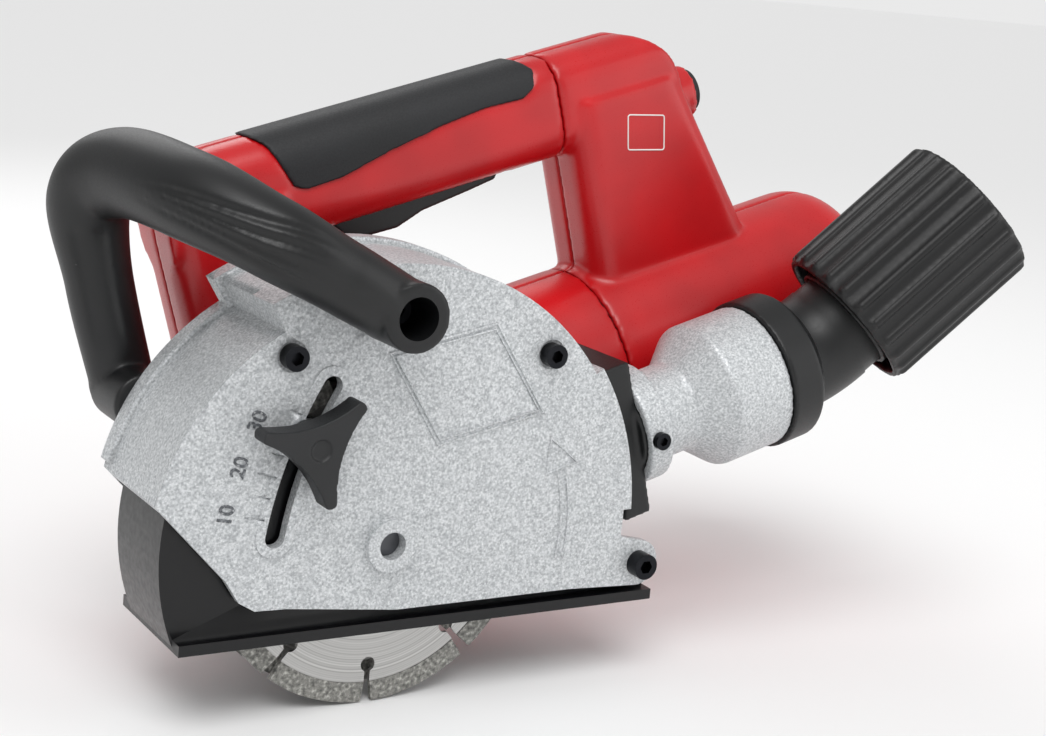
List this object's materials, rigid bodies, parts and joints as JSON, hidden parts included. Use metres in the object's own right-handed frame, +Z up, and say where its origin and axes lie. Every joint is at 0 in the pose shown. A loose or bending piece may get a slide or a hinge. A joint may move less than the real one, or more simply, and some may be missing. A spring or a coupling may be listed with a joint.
{
  "type": "wall chaser",
  "caption": "Hand-held wall chaser: diamond discs under a cast drum guard, plunging shoe, side motor with bow handle, tilted dust port with swivelling hose cuff.",
  "frame": {"origin": "on the sole's lower face, straight below the spindle and midway between the discs", "axes": "+X to the rear along the sole, +Y from the guard towards the motor, +Z up from the sole"},
  "size_m": [0.3838, 0.1672, 0.2409],
  "materials": {
    "cast_silver": "cast, sparkling silver paint",
    "bare_cast": "bare cast",
    "steel": "turned steel",
    "dark_steel": "blackened steel",
    "black_screw": "black oxide",
    "shoe_black": "gloss black paint on steel",
    "disc_core": "ground steel",
    "disc_rim": "rough sintered diamond rim",
    "bronze": "sintered bronze",
    "copper": "copper",
    "brass": "machined",
    "carbon": "carbon",
    "red_plastic": "satin red",
    "soft_rubber": "fine grained soft inlay",
    "black_plastic": "satin black",
    "grip_black": "satin black, solid moulding",
    "knob_black": "matte black",
    "fan_plastic": "matte",
    "board_green": "potted electronics"
  },
  "bodies": {
    "machine": {"guard_back": "cast_silver", "guard_cover": "cast_silver", "cover_bolts": "black_screw", "pivot_bolt": "black_screw", "pivot_sleeve": "steel", "spindle_bearing": "steel", "spindle_bush": "bronze", "gear_housing": "bare_cast", "gearbox_screws": "black_screw", "gear_cap": "bare_cast", "gear_cap_screws": "black_screw", "lock_spring": "steel", "front_bearing": "steel", "rear_bearing": "steel", "stator_core": "dark_steel", "field_coils": "copper", "brush_holders": "brass", "carbon_brushes": "carbon", "front_shell_left": "red_plastic", "front_shell_right": "red_plastic", "rear_shell_left": "red_plastic", "rear_shell_right": "red_plastic", "housing_screws": "black_screw", "soft_grip": "soft_rubber", "trigger_pin": "steel", "trigger_spring": "steel", "switch_body": "black_plastic", "soft_start_module": "board_green", "cord_grommet": "soft_rubber", "port_plate": "black_plastic", "dust_port": "cast_silver", "port_screws": "black_screw", "front_handle": "grip_black", "front_handle_bolts": "black_screw"},
    "shoe": {"shoe": "shoe_black", "clamp_stud": "steel", "stud_washer": "steel"},
    "knob": {"clamp_knob": "knob_black", "knob_insert": "brass"},
    "disc_spindle": {"spindle": "dark_steel", "inner_flange": "steel", "spacer_rings": "steel", "clamp_nut": "dark_steel", "near_disc": "disc_core", "far_disc": "disc_core", "near_segments": "disc_rim", "far_segments": "disc_rim", "bevel_gear": "dark_steel", "gear_circlip": "steel"},
    "armature": {"motor_shaft": "dark_steel", "bevel_pinion": "dark_steel", "cooling_fan": "fan_plastic", "rotor_core": "dark_steel", "commutator": "copper"},
    "trigger": {"trigger": "black_plastic"},
    "lock_button": {"lock_button": "red_plastic"},
    "hose_adaptor": {"swivel_ring": "black_plastic", "dust_elbow": "black_plastic", "hose_cuff": "black_plastic"}
  },
  "joints": [
    {"name": "depth_setting", "type": "hinge", "parent": "machine", "child": "shoe", "pos_m": [0.109, 0, 0.015], "axis": [0, -1, 0], "range_deg": [0, 11.6]},
    {"name": "knob_turn", "type": "hinge", "parent": "shoe", "child": "knob", "pos_m": [-0.03539, -0.03, 0.07217], "axis": [0, -1, 0], "range_deg": [0, 360]},
    {"name": "drive_spin", "type": "hinge", "parent": "machine", "child": "armature", "pos_m": [0.11506, 0.0735, 0.06658], "axis": [0.9588, 0, 0.284], "continuous": true},
    {"name": "spindle_spin", "type": "hinge", "parent": "machine", "child": "disc_spindle", "pos_m": [0, 0, 0.0325], "axis": [0, 1, 0], "continuous": true},
    {"name": "trigger_pull", "type": "hinge", "parent": "machine", "child": "trigger", "pos_m": [0.07813, 0.0735, 0.16307], "axis": [0, 1, 0], "range_deg": [0, 4.5], "stiffness_Nm_per_rad": 1.5, "springref_deg": -8.59},
    {"name": "lock_press", "type": "slide", "parent": "machine", "child": "lock_button", "axis": [0, -1, 0], "range_m": [0, 0.003], "stiffness_N_per_m": 600, "springref_m": -0.002},
    {"name": "hose_swivel", "type": "hinge", "parent": "machine", "child": "hose_adaptor", "pos_m": [0.17738, 0, 0.08504], "axis": [0.9588, 0, 0.284], "range_deg": [0, 150]}
  ],
  "couplings": [
    {"joint": "spindle_spin", "follows": "drive_spin", "ratio": 0.33333}
  ]
}
